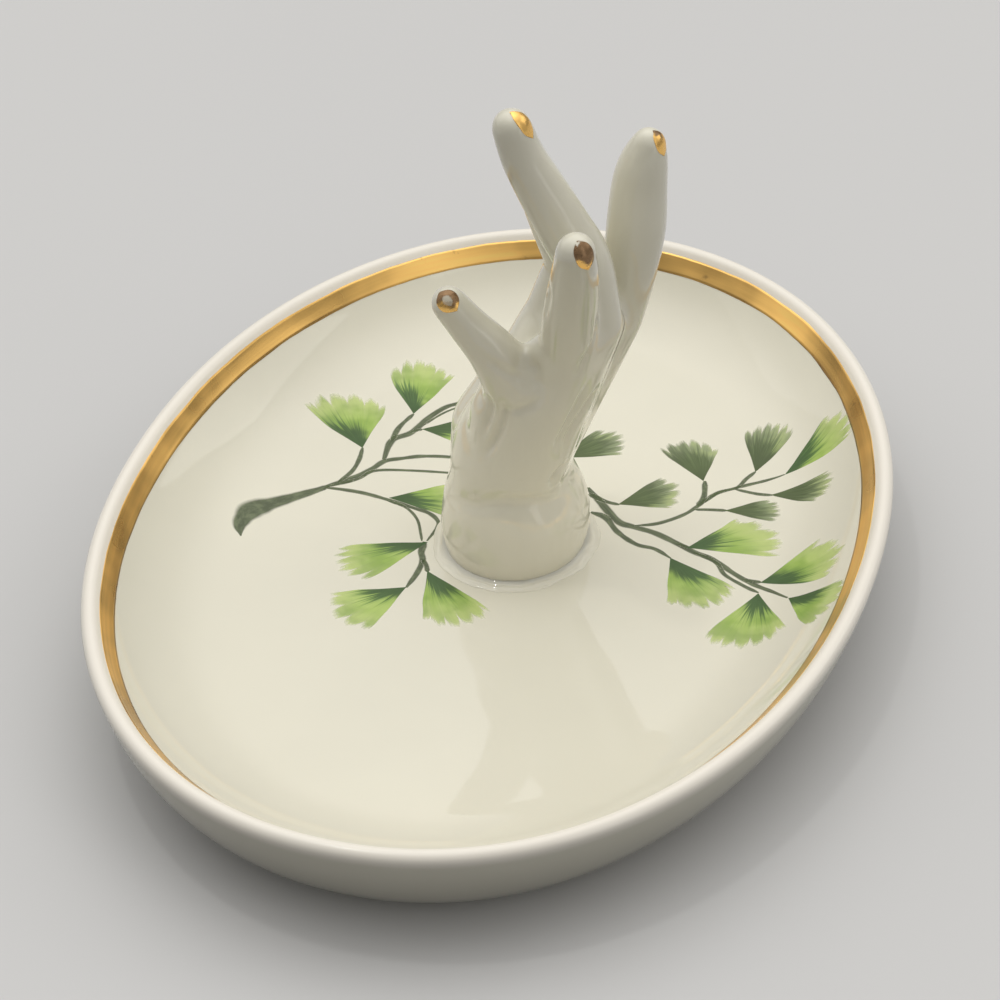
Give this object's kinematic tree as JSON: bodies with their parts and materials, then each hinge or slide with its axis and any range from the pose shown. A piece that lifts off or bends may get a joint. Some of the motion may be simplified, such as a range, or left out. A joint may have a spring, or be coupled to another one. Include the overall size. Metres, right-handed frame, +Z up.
{
  "type": "ring dish",
  "caption": "Oval porcelain trinket dish with a standing hand whose raised fingers hold rings, gold line inside the rim and painted fern sprays.",
  "frame": {"origin": "centre of the resting plane under the oval dish", "axes": "+Y along the dish's long axis, +Z up, +X towards the back of the hand"},
  "size_m": [0.096, 0.13, 0.0714],
  "materials": {
    "porcelain": "clear glossy glaze over cream white porcelain",
    "gilding": "fired gold, burnished",
    "worn_gilding": "fired gold, worn and darkened",
    "leaf_enamel": "green painted enamel under a gloss"
  },
  "bodies": {
    "root": {"dish": "porcelain", "hand": "porcelain", "luting_bead": "porcelain", "gilt_band": "gilding", "gilt_nail_thumb": "worn_gilding", "gilt_nail_index": "worn_gilding", "gilt_nail_middle": "worn_gilding", "gilt_nail_ring": "worn_gilding", "gilt_nail_little": "worn_gilding", "fern_spray_left": "leaf_enamel", "fern_spray_right": "leaf_enamel"}
  },
  "joints": []
}
